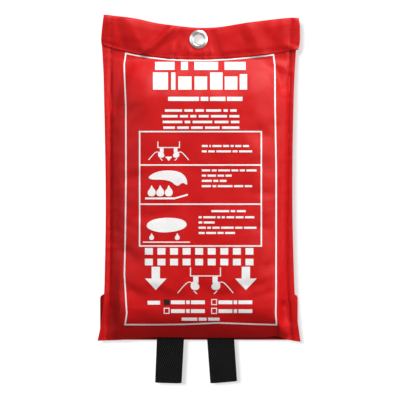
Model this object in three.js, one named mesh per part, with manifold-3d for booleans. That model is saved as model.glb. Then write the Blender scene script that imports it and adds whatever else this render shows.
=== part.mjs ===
// Fire blanket in a soft hanging pouch, in millimetres, +Z up.
// The origin is on the axis of the hanging eyelet, at the rear face of the back panel.
// The pouch faces -Y, the wall is at +Y, and two webbing tapes hang out of the mouth at the bottom.

import * as THREE from "three";
import { mergeVertices } from "three/addons/utils/BufferGeometryUtils.js";
import Module from "manifold-3d";

const wasm = await Module();
wasm.setup();

// ---------------------------------------------------------------- driving dimensions

const CLOTH = 0.8; // coated pouch fabric, with its coating and turned edges
const GAP = 0.3; // air kept between layers that touch
const LAYER = CLOTH + GAP;

const CORNER_TOP = 22.5; // height of the two upper corners above the eyelet
const MIDDLE_TOP = 11; // the upper edge dips between them
const HALF_TOP = 92; // half width over which the upper edge dips
const HEADER_SEAM = -18.3; // lower edge of the header band, in the middle
const HEADER_SEAM_RISE = 8.5; // how much higher that edge is at the sides
const TUCK = 5; // how far the panels reach up inside the header band

const PANEL_FOOT = -250; // the front panel is straight down to here, and then turns in
const MOUTH = -278.4; // lowest point of the lip and of the back panel
const EAR_FOOT = -282.4; // the two lower corners hang lower than the mouth
const EAR_INNER = 73.6; // the corners start outside the path of the blanket
const EAR_OUTER = 75;
const EAR_TOP_FOOT = -279; // lower edge of a corner where it meets the lip
const SEAM_INSET = 5.5; // sewn margin outside each side seam

const DEPTH = 17; // depth of the filled pouch in the middle
const SEAM_LIFT = 3.5; // the side seams stand this far off the wall
const FILLED_TOP = -70; // the pouch reaches its full depth here
const CROWN_POWER = 5; // how squarely the front is crowned across
const BOXY_TOP = -190; // below here the front turns square over the end of the pack
const BOXY_HALF = 0.845; // and is flat over this share of the width between the seams
const LIP_REAR = 3.9; // the lip ends this far in front of the wall

const PACK_HALF = 72; // blanket of 1 m by 1 m folded in seven across
const PACK_TOP = -36;
const PACK_FOOT = -271;
const PACK_REAR = 3.3; // the pack's rear face, in front of the wall
const PACK_PLAY = 0.6; // play between the pack and the front panel

const TAPE_WIDTH = 25;
const TAPE_THICK = 1.2;
const TAPE_FRONT = 3.0; // front face of the tapes, in front of the wall
const TAPE_ROOT_TOP = -212;
const TAPE_HINGE = -280.8; // the free ends swing about this height
const TAPE_SLOT = 0.8; // from the hinge to the sewn end and to the free end
const TAPE_END = -321;
const TAPE_SPLAY = 0.06; // the free ends lean apart
const TAPE_CENTRES = { left: -26.2, right: 20.6 };

const EYELET_HOLE = 5; // radii
const EYELET_BARREL = 5.6;
const EYELET_FLANGE = 8.7;
const EYELET_HEIGHT = 1.3;
const HEADER_HOLE = 6;

const FLAP_TOP = -239;
const FLAP_HINGE = -278.8; // it swings about its lower edge
const FLAP_HALF = 92.6;
const FLAP_CORNER = 4;
const STRIP_LOW = -265; // hook and loop strips
const STRIP_HIGH = -245;
const STRIP_HALF = 60;
const STRIP_THICK = 1;

const THREAD_WIDTH = 0.8;
const THREAD_THICK = 0.4;

// ---------------------------------------------------------------- materials

function material(name, color, roughness, metalness = 0) {
  return new THREE.MeshStandardMaterial({ name, color, roughness, metalness });
}

const redFabric = material("red_fabric", 0xb5161b, 0.5);
const redThread = material("red_thread", 0x8f1014, 0.7);
const nickel = material("nickel", 0xd8d5cf, 0.25, 1);
const blackWebbing = material("black_webbing", 0x17171a, 0.8);
const glassFabric = material("glass_fabric", 0xe6e2d6, 0.85);
const hookAndLoop = material("hook_and_loop", 0x1c1c1e, 0.95);

// ---------------------------------------------------------------- helpers

const { lerp, clamp, smoothstep } = THREE.MathUtils;

// Eases from one station to the next through [height, value] pairs given from top to bottom.
function eased(stations, height) {
  for (let i = 1; i < stations.length; i += 1) {
    const [upper, from] = stations[i - 1];
    const [lower, to] = stations[i];
    if (height >= lower) return lerp(to, from, smoothstep(height, lower, upper));
  }
  return stations.at(-1)[1];
}

// A block cut into a grid and bent into shape. place(u, t, v) takes 0 to 1 across, from the
// outer face to the inner one, and upwards, and returns the point.
function bentBlock(across, upward, place) {
  const block = new THREE.BoxGeometry(1, 1, 1, across.length - 1, 1, upward);
  const points = block.attributes.position;
  for (let i = 0; i < points.count; i += 1) {
    const column = Math.round((points.getX(i) + 0.5) * (across.length - 1));
    const [x, y, z] = place(across[column], points.getY(i) + 0.5, points.getZ(i) + 0.5);
    points.setXYZ(i, x, y, z);
  }
  block.computeVertexNormals();
  return block;
}

function evenly(count, from = -1, to = 1) {
  return Array.from({ length: count + 1 }, (_, i) => lerp(from, to, i / count));
}

function toSolid(geometry) {
  const bare = geometry.clone();
  bare.deleteAttribute("normal");
  bare.deleteAttribute("uv");
  const merged = mergeVertices(bare, 1e-4);
  const vertProperties = new Float32Array(merged.attributes.position.array);
  const triVerts = new Uint32Array(merged.index.array);
  return new wasm.Manifold(new wasm.Mesh({ numProp: 3, vertProperties, triVerts }));
}

function fromSolid(solid) {
  const mesh = solid.getMesh();
  const geometry = new THREE.BufferGeometry();
  geometry.setAttribute("position", new THREE.BufferAttribute(mesh.vertProperties, 3));
  geometry.setIndex(new THREE.BufferAttribute(mesh.triVerts, 1));
  geometry.computeVertexNormals();
  return geometry;
}

function piece(name, geometry, finish) {
  const mesh = new THREE.Mesh(geometry, finish);
  mesh.name = name;
  return mesh;
}

// ---------------------------------------------------------------- shape of the pouch

const EDGE_STATIONS = [
  [CORNER_TOP, 90.6],
  [0, 92.6],
  [-20, 89.6],
  [-150, 87.4],
  [-238, 88.8],
  [EAR_FOOT, 94.8],
];

const edgeX = (z) => eased(EDGE_STATIONS, z);
const seamX = (z) => edgeX(z) - SEAM_INSET;
const upperEdge = (x) => MIDDLE_TOP + (CORNER_TOP - MIDDLE_TOP) * smoothstep(Math.abs(x), 0, HALF_TOP);
const headerSeam = (x) => HEADER_SEAM + HEADER_SEAM_RISE * (x / HALF_TOP) ** 2;

// Distance of the side seams from the wall: none at the header and at the lower corners.
function seamLift(z) {
  const below = smoothstep(HEADER_SEAM - z, 0, HEADER_SEAM - FILLED_TOP);
  const above = smoothstep(z, EAR_FOOT, PANEL_FOOT + 10);
  return SEAM_LIFT * below * above;
}

// How full the pouch is at a height: 0 under the header, 1 over most of its length.
function fullness(z) {
  const above = clamp((z - FILLED_TOP) / (HEADER_SEAM - FILLED_TOP), 0, 1);
  const under = clamp((PANEL_FOOT - z) / (PANEL_FOOT - EAR_FOOT + 0.5), 0, 1);
  return (1 - above ** 2.5) * Math.sqrt(1 - under ** 2);
}

// Distance of the front panel's outer face from the wall.
function frontDepth(x, z) {
  const flat = CLOTH + LAYER + seamLift(z);
  const side = Math.min(Math.abs(x) / seamX(z), 1);
  const crowned = 1 - side ** CROWN_POWER;
  const boxy = 1 - smoothstep(side, BOXY_HALF, 1);
  const across = lerp(boxy, crowned, smoothstep(z, PANEL_FOOT, BOXY_TOP));
  return flat + (DEPTH - flat) * fullness(z) * across;
}

// Distance of the back panel's rear face from the wall: it lies flat in the middle.
function backDepth(x, z) {
  return seamLift(z) * smoothstep(Math.abs(x) / seamX(z), 0.62, 1) ** 2;
}

// Columns of the panels, from the middle to the edge: upright over the blanket, and then
// spread from there to the edge, which changes with height.
const HALF_COLUMNS = [28, 52, 66, EAR_INNER, EAR_OUTER, 79, 83, 87, 91, 95];
const EDGE_COLUMN = HALF_COLUMNS.at(-1);
const PANEL_COLUMNS = [...HALF_COLUMNS.map((column) => -column).reverse(), 0, ...HALF_COLUMNS];

const outward = (column) => clamp((Math.abs(column) - EAR_OUTER) / (EDGE_COLUMN - EAR_OUTER), 0, 1);

function panelX(column, z) {
  const edge = edgeX(z) - GAP * smoothstep(z, HEADER_SEAM - 4, HEADER_SEAM);
  const reach = Math.min(Math.abs(column), EAR_OUTER);
  return Math.sign(column) * lerp(reach, edge, outward(column));
}

const cornerFoot = (column) => lerp(EAR_TOP_FOOT, EAR_FOOT, outward(column));

// ---------------------------------------------------------------- pouch panels

function frontPanel() {
  const geometry = bentBlock(PANEL_COLUMNS, 22, (column, t, v) => {
    const foot = Math.abs(column) <= EAR_INNER ? PANEL_FOOT : cornerFoot(column);
    const z = lerp(foot, headerSeam(column) + TUCK, 1 - (1 - v) ** 1.25);
    const x = panelX(column, z);
    return [x, -frontDepth(x, z) + CLOTH * t, z];
  });
  return piece("front_panel", geometry, redFabric);
}

function backPanel() {
  const geometry = bentBlock(PANEL_COLUMNS, 14, (column, t, v) => {
    const foot = Math.abs(column) <= EAR_INNER ? MOUTH : cornerFoot(column);
    const z = lerp(foot, headerSeam(column) + TUCK, v);
    const x = panelX(column, z);
    return [x, -backDepth(x, z) - CLOTH * (1 - t), z];
  });
  return piece("back_panel", geometry, redFabric);
}

// The front panel's last stretch, which turns in under the blanket and yields as it comes out.
function mouthLip() {
  const half = EAR_INNER - 3 * GAP;
  const geometry = bentBlock(evenly(12), 8, (f, t, v) => {
    const x = f * half;
    const turn = (1 - v) * (Math.PI / 2);
    const outer = frontDepth(x, PANEL_FOOT) - t * CLOTH;
    const drop = PANEL_FOOT - GAP - MOUTH - t * CLOTH;
    const y = -(LIP_REAR + (outer - LIP_REAR) * Math.cos(turn));
    return [x, y, PANEL_FOOT - GAP - drop * Math.sin(turn)];
  });
  return piece("mouth_lip", geometry, redFabric);
}

// ---------------------------------------------------------------- header band and eyelet

const LEAF_FRONT = -(CLOTH + 2 * LAYER); // outer face of the band's front leaf
const LEAF_REAR = LAYER; // outer face of its rear leaf

// The band is one strip: up in front, over the top edge and down behind.
function headerBand() {
  const centre = (LEAF_FRONT + LEAF_REAR) / 2;
  const radius = (LEAF_REAR - LEAF_FRONT) / 2;
  const rises = 5;
  const turns = 4;
  const steps = 2 * rises + turns;
  const columns = evenly(20);
  const geometry = bentBlock(columns, steps, (f, t, v) => {
    const step = Math.round(v * steps);
    const near = f * HALF_TOP;
    const shoulder = upperEdge(near) - radius;
    const climb = Math.min(step, steps - step, rises) / rises;
    const z = lerp(headerSeam(near), shoulder, climb);
    const angle = Math.PI * clamp((step - rises) / turns, 0, 1);
    const reach = radius - t * CLOTH;
    const x = f * edgeX(z);
    return [x, centre - reach * Math.cos(angle), z + reach * Math.sin(angle)];
  });
  const drill = new THREE.CylinderGeometry(HEADER_HOLE, HEADER_HOLE, 20, 32);
  const cut = toSolid(geometry).subtract(toSolid(drill));
  return piece("header_band", fromSolid(cut), redFabric);
}

// Turns a profile of [radius, distance in front of the wall] about the eyelet's axis.
function turned(profile) {
  const points = profile.map(([radius, front]) => new THREE.Vector2(radius, front));
  const geometry = new THREE.LatheGeometry([...points, points[0]], 40);
  return geometry.rotateX(Math.PI);
}

// Barrel, domed front flange, and the rolled rim that clinches the washer behind.
function eyelet() {
  const seat = -LEAF_FRONT + GAP;
  const washerRear = -(LEAF_REAR + 2 * GAP + 0.8);
  const geometry = turned([
    [EYELET_HOLE, washerRear + 0.2],
    [EYELET_HOLE + 0.3, washerRear - 0.5],
    [EYELET_HOLE + 1.0, washerRear - 0.8],
    [EYELET_HOLE + 1.9, washerRear - 0.5],
    [EYELET_HOLE + 2.0, washerRear],
    [EYELET_BARREL, washerRear],
    [EYELET_BARREL, seat],
    [EYELET_FLANGE, seat],
    [EYELET_FLANGE, seat + 0.35],
    [EYELET_FLANGE - 0.5, seat + 0.75],
    [EYELET_FLANGE - 1.5, seat + EYELET_HEIGHT - 0.1],
    [EYELET_HOLE + 1.6, seat + EYELET_HEIGHT],
    [EYELET_HOLE + 0.7, seat + EYELET_HEIGHT - 0.25],
    [EYELET_HOLE + 0.15, seat + EYELET_HEIGHT - 0.7],
    [EYELET_HOLE, seat],
  ]);
  return piece("eyelet", geometry, nickel);
}

function eyeletWasher() {
  const front = -(LEAF_REAR + GAP);
  const inner = EYELET_BARREL + GAP;
  const geometry = turned([
    [inner, front - 0.8],
    [EYELET_FLANGE - 0.3, front - 0.8],
    [EYELET_FLANGE, front - 0.4],
    [EYELET_FLANGE, front],
    [inner, front],
  ]);
  return piece("eyelet_washer", geometry, nickel);
}

// ---------------------------------------------------------------- sewing threads

// A run of thread lying on the front: along the given points, which are on the cloth's face.
function threadRun(points, sideways) {
  return bentBlock([-0.5, 0.5], points.length - 1, (f, t, v) => {
    const [x, y, z] = points[Math.round(v * (points.length - 1))];
    const out = y - GAP - THREAD_THICK * (1 - t);
    return [x + f * THREAD_WIDTH * sideways.x, out, z + f * THREAD_WIDTH * sideways.z];
  });
}

function sideThread(name, side) {
  const faces = evenly(30, EAR_FOOT + 3, CORNER_TOP - 6).map((z) => {
    const x = side * (seamX(z) + 1.2);
    const overHeader = z > headerSeam(x) - 6;
    const depth = overHeader ? -LEAF_FRONT : frontDepth(x, z);
    return [x, -depth, z];
  });
  return piece(name, threadRun(faces, { x: 1, z: 0 }), redThread);
}

// Runs along the lower edge of the header band, between the two side threads.
function headerThread() {
  const half = HALF_TOP - SEAM_INSET - 3;
  const faces = evenly(24).map((f) => [f * half, LEAF_FRONT, headerSeam(f * half) + 2.6]);
  const geometry = bentBlock(evenly(24), 1, (f, t, v) => {
    const [x, y, z] = faces[Math.round((f + 1) * 12)];
    return [x, y - GAP - THREAD_THICK * (1 - t), z + (v - 0.5) * THREAD_WIDTH];
  });
  return piece("header_thread", geometry, redThread);
}

// ---------------------------------------------------------------- closing flap

const LOOP_FRONT = GAP;
const HOOK_FRONT = LOOP_FRONT + STRIP_THICK + GAP;
const FLAP_FRONT = HOOK_FRONT + STRIP_THICK + GAP;

// A plate in the wall's plane: a rounded outline, extruded from one depth to another.
function plate(outline, front, thickness) {
  const geometry = new THREE.ExtrudeGeometry(outline, {
    depth: thickness,
    bevelEnabled: false,
    curveSegments: 5,
  });
  geometry.rotateX(Math.PI / 2);
  return geometry.translate(0, front + thickness, 0);
}

function roundedOutline(half, low, high, corner, lowCorner = corner) {
  const outline = new THREE.Shape();
  outline.moveTo(-half + lowCorner, low);
  outline.lineTo(half - lowCorner, low);
  outline.quadraticCurveTo(half, low, half, low + lowCorner);
  outline.lineTo(half, high - corner);
  outline.quadraticCurveTo(half, high, half - corner, high);
  outline.lineTo(-half + corner, high);
  outline.quadraticCurveTo(-half, high, -half, high - corner);
  outline.lineTo(-half, low + lowCorner);
  outline.quadraticCurveTo(-half, low, -half + lowCorner, low);
  return outline;
}

function closingFlap() {
  const outline = roundedOutline(FLAP_HALF, FLAP_HINGE, FLAP_TOP, FLAP_CORNER, 1);
  return piece("closure_flap", plate(outline, FLAP_FRONT, CLOTH), redFabric);
}

function flapThread() {
  const high = FLAP_TOP - 3;
  const outline = roundedOutline(FLAP_HALF - 4, high - THREAD_WIDTH, high, 0.3);
  const front = FLAP_FRONT + CLOTH + GAP;
  return piece("flap_thread", plate(outline, front, THREAD_THICK), redThread);
}

function strip(name, front) {
  const outline = roundedOutline(STRIP_HALF, STRIP_LOW, STRIP_HIGH, 1);
  return piece(name, plate(outline, front, STRIP_THICK), hookAndLoop);
}

// ---------------------------------------------------------------- blanket and pull tapes

// The folded blanket: a pack with a flat back, a crowned front and rounded ends.
function foldedBlanket() {
  const columns = evenly(14).map((f) => Math.sin((f * Math.PI) / 2));
  const rows = 18;
  const geometry = bentBlock(columns, rows, (f, t, v) => {
    const row = 0.5 - 0.5 * Math.cos(v * Math.PI);
    const z = lerp(PACK_FOOT, PACK_TOP, row);
    const topEnd = Math.sqrt(1 - clamp((z - PACK_TOP + 8) / 8, 0, 1) ** 2 * 0.75);
    const footEnd = Math.sqrt(1 - clamp((PACK_FOOT + 18 - z) / 18, 0, 1) ** 2 * 0.7);
    const x = f * PACK_HALF;
    const edge = smoothstep(Math.abs(f), 0.9, 1);
    const front = frontDepth(x, Math.max(z, BOXY_TOP)) - CLOTH - PACK_PLAY;
    const rear = PACK_REAR + 1.6 * edge;
    const thickness = (front - rear) * topEnd * footEnd * (1 - 0.25 * edge);
    const middle = (front + rear) / 2 - (1 - footEnd) * 2.4;
    return [x, -(middle + thickness * (0.5 - t)), z];
  });
  return piece("folded_blanket", geometry, glassFabric);
}

// The sewn end of a tape lies behind the pack and comes straight out of the mouth.
function tapeRoot(side) {
  const length = TAPE_ROOT_TOP - (TAPE_HINGE + TAPE_SLOT);
  const geometry = new THREE.BoxGeometry(TAPE_WIDTH, TAPE_THICK, length);
  geometry.translate(TAPE_CENTRES[side], TAPE_THICK / 2 - TAPE_FRONT, TAPE_ROOT_TOP - length / 2);
  return piece(`tape_root_${side}`, geometry, blackWebbing);
}

function pullTape(side) {
  const lean = side === "left" ? -TAPE_SPLAY : TAPE_SPLAY;
  const top = TAPE_HINGE - TAPE_SLOT;
  const geometry = bentBlock([-0.5, 0.5], 8, (f, t, v) => {
    const z = lerp(TAPE_END, top, v);
    const x = TAPE_CENTRES[side] + f * TAPE_WIDTH + lean * (top - z);
    return [x, -TAPE_FRONT + t * TAPE_THICK, z - f * TAPE_WIDTH * lean * (1 - v)];
  });
  return piece(`pull_tape_${side}`, geometry, blackWebbing);
}

// The stitching that holds a tape to the blanket: a square with a cross in it.
function tapeThread(side) {
  const half = TAPE_WIDTH / 2 - 3;
  const low = TAPE_ROOT_TOP - 2 * half - 3;
  const square = roundedOutline(half, low, low + 2 * half, 0.3);
  const middle = low + half;
  const inner = half - THREAD_WIDTH;
  const bar = THREAD_WIDTH * 0.7;
  for (const [across, up] of [[1, 0], [0, 1], [-1, 0], [0, -1]]) {
    const window = new THREE.Path();
    const point = (along, sideways) => [
      across * along - up * sideways,
      middle + up * along + across * sideways,
    ];
    window.moveTo(...point(bar, 0));
    window.lineTo(...point(inner, inner - bar));
    window.lineTo(...point(inner, bar - inner));
    window.closePath();
    square.holes.push(window);
  }
  const geometry = plate(square, -TAPE_FRONT + TAPE_THICK + GAP, THREAD_THICK);
  return piece(`tape_thread_${side}`, geometry.translate(TAPE_CENTRES[side], 0, 0), blackWebbing);
}

// ---------------------------------------------------------------- assembly

const pouch = new THREE.Group();
pouch.add(frontPanel(), mouthLip(), backPanel(), headerBand(), eyelet(), eyeletWasher());
pouch.add(sideThread("side_thread_left", -1), sideThread("side_thread_right", 1), headerThread());
pouch.add(strip("loop_strip", LOOP_FRONT));

const flap = new THREE.Group();
flap.add(closingFlap(), flapThread(), strip("hook_strip", HOOK_FRONT));

const blanket = new THREE.Group();
blanket.add(foldedBlanket());
for (const side of ["left", "right"]) {
  blanket.add(tapeRoot(side), tapeThread(side), pullTape(side));
}

const fireBlanket = new THREE.Group();
fireBlanket.add(pouch, flap, blanket);

export default fireBlanket;
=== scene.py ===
# %% [markdown]
# # A fire blanket in a soft hanging pouch
# The real object is a flat sewn pouch of red coated fabric. It hangs from one eyelet, it bulges over
# the blanket folded inside it, and two webbing tapes hang out of its mouth. Pulling them draws the
# blanket out downwards.
# The imported frame already holds every part as a plain solid, with the joints. We could paint those
# solids, but cloth that is made of flat blocks never looks like cloth. So each sewn part is built
# again here as a real sheet, in the same place, and most ride on the same body as their solid.

# %% Load the frame
import math
import random

import bmesh
import bpy
from mathutils import Matrix, Vector, noise
from mathutils.bvhtree import BVHTree


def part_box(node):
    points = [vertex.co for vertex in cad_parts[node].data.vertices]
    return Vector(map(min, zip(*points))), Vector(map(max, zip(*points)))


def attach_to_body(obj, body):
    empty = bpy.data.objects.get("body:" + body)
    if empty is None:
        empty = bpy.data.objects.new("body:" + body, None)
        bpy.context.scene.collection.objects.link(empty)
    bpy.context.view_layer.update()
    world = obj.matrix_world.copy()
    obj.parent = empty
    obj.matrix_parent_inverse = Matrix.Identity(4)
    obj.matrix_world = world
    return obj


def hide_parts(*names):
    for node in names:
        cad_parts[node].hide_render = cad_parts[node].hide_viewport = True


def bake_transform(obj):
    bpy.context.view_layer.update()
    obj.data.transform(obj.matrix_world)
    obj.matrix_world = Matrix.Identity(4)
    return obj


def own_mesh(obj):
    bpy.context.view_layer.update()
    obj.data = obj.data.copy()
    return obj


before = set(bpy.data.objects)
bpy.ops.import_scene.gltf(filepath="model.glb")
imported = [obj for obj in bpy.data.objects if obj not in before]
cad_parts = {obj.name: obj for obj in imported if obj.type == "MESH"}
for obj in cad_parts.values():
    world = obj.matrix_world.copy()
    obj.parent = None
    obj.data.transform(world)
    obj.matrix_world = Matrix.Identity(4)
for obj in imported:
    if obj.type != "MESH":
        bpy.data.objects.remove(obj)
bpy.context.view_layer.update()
MM = 0.001  # this script thinks in millimetres, and Blender's objects are in metres

# %% [markdown]
# ## Camera
# The pouch is shown square on, as on a product page. A short lens would make its bulging middle look
# wider than its corners, so the camera stands 1.5 m away with a long lens.

# %% Place the camera
CAMERA_DISTANCE = 1.5
FRAME_WIDTH = 0.374
SENSOR_WIDTH = 36
VIEW_CENTRE = Vector((0.0013, 0, -0.150))

view = bpy.data.cameras.new("straight_on")
view.sensor_width = SENSOR_WIDTH
view.lens = SENSOR_WIDTH * CAMERA_DISTANCE / FRAME_WIDTH
camera = bpy.data.objects.new("straight_on", view)
camera.location = VIEW_CENTRE - Vector((0, CAMERA_DISTANCE, 0))
camera.rotation_euler = (math.radians(90), 0, 0)
bpy.context.collection.objects.link(camera)
scene = bpy.context.scene
scene.camera = camera
scene.view_settings.view_transform = "Standard"
print(f"lens {view.lens:.0f} mm")

# %% [markdown]
# ## Finishes
# A finish is a small network of nodes. The plain way is one colour per part. Real cloth is livelier:
# it is woven, its dye varies, and it pales where it rubs. The helpers below write such networks in
# few lines: one starts a finish, one does sums, and one makes the little hills of a weave.

# %% Helpers for finishes
def new_finish(name, colour, roughness, **settings):
    finish = bpy.data.materials.new(name)
    finish.use_nodes = True
    shader = finish.node_tree.nodes["Principled BSDF"]
    shader.inputs["Base Color"].default_value = (*colour, 1)
    shader.inputs["Roughness"].default_value = roughness
    for socket, value in settings.items():
        shader.inputs[socket.replace("_", " ")].default_value = value
    return finish, finish.node_tree, shader


def add_node(tree, kind, **inputs):
    node = tree.nodes.new(kind)
    for socket, value in inputs.items():
        join(tree, value, node.inputs[socket.replace("_", " ")])
    return node


def join(tree, value, socket):
    if isinstance(value, bpy.types.NodeSocket):
        tree.links.new(value, socket)
    else:
        socket.default_value = value


def sums(tree, operation, first, second=0.0):
    node = tree.nodes.new("ShaderNodeMath")
    node.operation = operation
    join(tree, first, node.inputs[0])
    join(tree, second, node.inputs[1])
    return node.outputs[0]


def speckle(tree, scale, detail=3.0):
    """Soft random blotches, in the object's own coordinates."""
    place = tree.nodes.new("ShaderNodeTexCoord").outputs["Object"]
    return add_node(tree, "ShaderNodeTexNoise", Vector=place, Scale=scale, Detail=detail).outputs["Fac"]


def across_and_along(tree, uv_name="weave"):
    """The two directions of the threads, in metres, from the piece's own UV map."""
    uv = tree.nodes.new("ShaderNodeUVMap")
    uv.uv_map = uv_name
    parts = add_node(tree, "ShaderNodeSeparateXYZ", Vector=uv.outputs["UV"])
    return parts.outputs["X"], parts.outputs["Y"]


def wave(tree, along, pitch):
    return sums(tree, "SINE", sums(tree, "MULTIPLY", along, 2 * math.pi / pitch))


def shaded(tree, factor, dark, light):
    """A colour between dark and light, by a factor from 0 to 1."""
    ramp = tree.nodes.new("ShaderNodeValToRGB")
    join(tree, factor, ramp.inputs["Fac"])
    ramp.color_ramp.elements[0].color = (*dark, 1)
    ramp.color_ramp.elements[1].color = (*light, 1)
    return ramp.outputs["Color"]


def raise_surface(tree, shader, height, distance, strength=1.0):
    bump = add_node(tree, "ShaderNodeBump", Height=height, Distance=distance, Strength=strength)
    tree.links.new(bump.outputs["Normal"], shader.inputs["Normal"])


# %% [markdown]
# ### Red coated fabric
# The pouch is a plain weave of nylon with a thin coating on it: satin, saturated, and a little paler
# where folds and edges rub. Two waves multiplied give the over and under of a plain weave, and a slow
# noise keeps the dye and the gloss from being even. `wear` is painted on each sheet by its shape.

# %% Red coated fabric
def make_red_fabric():
    finish, tree, shader = new_finish("red_fabric", (0.60, 0.006, 0.007), 0.42, Specular_IOR_Level=0.22)
    across, along = across_and_along(tree)
    thread_pitch = 0.0011
    plain_weave = sums(tree, "MULTIPLY", wave(tree, across, thread_pitch), wave(tree, along, thread_pitch))
    dye = speckle(tree, 45)
    grain = speckle(tree, 900, 2)
    wear = add_node(tree, "ShaderNodeAttribute")
    wear.attribute_name = "wear"
    worn = sums(tree, "MULTIPLY", wear.outputs["Fac"], sums(tree, "ADD", grain, 0.3))
    tone = sums(tree, "ADD", sums(tree, "MULTIPLY", dye, 0.7), sums(tree, "MULTIPLY", worn, 0.5))
    tone = sums(tree, "ADD", tone, sums(tree, "MULTIPLY", plain_weave, 0.06))
    colour = shaded(tree, tone, (0.52, 0.004, 0.005), (0.69, 0.008, 0.009))
    tree.links.new(colour, shader.inputs["Base Color"])
    gloss = sums(tree, "ADD", sums(tree, "MULTIPLY", dye, 0.16), 0.34)
    tree.links.new(gloss, shader.inputs["Roughness"])
    height = sums(tree, "ADD", plain_weave, sums(tree, "MULTIPLY", grain, 0.8))
    raise_surface(tree, shader, height, 0.00006, 0.7)
    return finish


def make_red_thread():
    finish, tree, shader = new_finish("red_thread", (0.42, 0.008, 0.010), 0.6, Specular_IOR_Level=0.2)
    strands = speckle(tree, 2600, 2)
    tree.links.new(shaded(tree, strands, (0.26, 0.005, 0.007), (0.50, 0.010, 0.012)), shader.inputs["Base Color"])
    raise_surface(tree, shader, strands, 0.00008)
    return finish


red_fabric = make_red_fabric()
red_thread = make_red_thread()
print("finishes:", red_fabric.name, red_thread.name)


# %% [markdown]
# ### Webbing, glass cloth, hook and loop, nickel and ink
# The tapes are black webbing whose ribs catch the light as rows of small dashes: these are painted
# highlights, lighter colour on the crests of the weave, over a bump for the ribs. The blanket is glass
# cloth, a satin weave in a warm off-white. Hook and loop tape is a dull fuzz. The eyelet is nickel
# plate with fine rubbing marks. The white print is a thin film that still shows the weave under it.

# %% The other finishes
def make_webbing():
    finish, tree, shader = new_finish("black_webbing", (0.006, 0.006, 0.006), 0.62, Specular_IOR_Level=0.03)
    across, along = across_and_along(tree)
    rib = 0.0019
    shifted = sums(tree, "ADD", across, sums(tree, "MULTIPLY", along, 0.5))
    basket = sums(tree, "MULTIPLY", wave(tree, shifted, rib), wave(tree, along, rib))
    lit = sums(tree, "ADD", sums(tree, "MULTIPLY", basket, 0.5), 0.5)
    fibres = speckle(tree, 1800, 2)
    # painted highlight: the crests of the basket weave are painted lighter, for the light that the webbing's ribs
    # catch; the bump below shapes the ribs
    rib_highlight = sums(tree, "POWER", lit, 3.0)
    tone = sums(tree, "MULTIPLY", rib_highlight, sums(tree, "ADD", fibres, 0.4))
    tree.links.new(shaded(tree, tone, (0.001, 0.001, 0.001), (0.050, 0.047, 0.046)), shader.inputs["Base Color"])
    tree.links.new(sums(tree, "ADD", sums(tree, "MULTIPLY", fibres, 0.2), 0.5), shader.inputs["Roughness"])
    raise_surface(tree, shader, sums(tree, "ADD", basket, sums(tree, "MULTIPLY", fibres, 0.5)), 0.00022)
    return finish


def make_glass_cloth():
    finish, tree, shader = new_finish("glass_fabric", (0.70, 0.68, 0.60), 0.55, Sheen_Weight=0.15)
    across, along = across_and_along(tree)
    yarn = 0.0016
    shifted = sums(tree, "ADD", across, sums(tree, "MULTIPLY", along, 0.25))
    satin = sums(tree, "MULTIPLY", wave(tree, shifted, yarn), wave(tree, along, yarn * 2))
    blotch = speckle(tree, 30)
    tone = sums(tree, "ADD", sums(tree, "MULTIPLY", satin, 0.12), blotch)
    tree.links.new(shaded(tree, tone, (0.70, 0.67, 0.58), (0.87, 0.85, 0.78)), shader.inputs["Base Color"])
    tree.links.new(sums(tree, "ADD", sums(tree, "MULTIPLY", blotch, 0.25), 0.4), shader.inputs["Roughness"])
    raise_surface(tree, shader, satin, 0.00012)
    return finish


def make_hook_and_loop():
    finish, tree, shader = new_finish(
        "hook_and_loop", (0.02, 0.02, 0.021), 0.9, Sheen_Weight=0.1, Specular_IOR_Level=0.2
    )
    fuzz = speckle(tree, 1500, 4)
    tree.links.new(shaded(tree, fuzz, (0.006, 0.006, 0.006), (0.045, 0.045, 0.047)), shader.inputs["Base Color"])
    raise_surface(tree, shader, fuzz, 0.0005)
    return finish


def make_nickel():
    finish, tree, shader = new_finish("nickel", (0.52, 0.51, 0.50), 0.30, Metallic=1.0)
    rubbed = speckle(tree, 500, 4)
    tree.links.new(shaded(tree, rubbed, (0.62, 0.61, 0.60), (0.76, 0.75, 0.74)), shader.inputs["Base Color"])
    tree.links.new(sums(tree, "ADD", sums(tree, "MULTIPLY", rubbed, 0.14), 0.24), shader.inputs["Roughness"])
    raise_surface(tree, shader, rubbed, 0.00001, 0.3)
    return finish


def make_ink(name, dark, light):
    finish, tree, shader = new_finish(name, light, 0.5, Specular_IOR_Level=0.2)
    film = speckle(tree, 700, 3)
    tree.links.new(shaded(tree, film, dark, light), shader.inputs["Base Color"])
    raise_surface(tree, shader, film, 0.00003, 0.6)
    return finish


black_webbing = make_webbing()
glass_cloth = make_glass_cloth()
hook_and_loop = make_hook_and_loop()
nickel = make_nickel()
white_ink = make_ink("white_ink", (0.80, 0.78, 0.77), (0.97, 0.95, 0.94))
black_ink = make_ink("black_ink", (0.008, 0.008, 0.008), (0.02, 0.02, 0.02))
print("finishes in all:", len(bpy.data.materials))

# %% [markdown]
# ## The shape of the pouch
# Every layer of the pouch follows the same few curves: its outline, its seams, and how far it bulges.
# We could model each layer by eye, but then they would cut into each other. Writing the curves once,
# as functions of the place on the cloth, keeps all the layers parallel. The numbers are those of the
# frame's solids, with the small differences between left and right that sewing leaves.

# %% Easing and smooth curves
def clamp(value, low=0.0, high=1.0):
    return max(low, min(high, value))


def ease(value, low, high):
    share = clamp((value - low) / (high - low))
    return share * share * (3 - 2 * share)


def mix(first, second, share):
    return first + (second - first) * share


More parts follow.
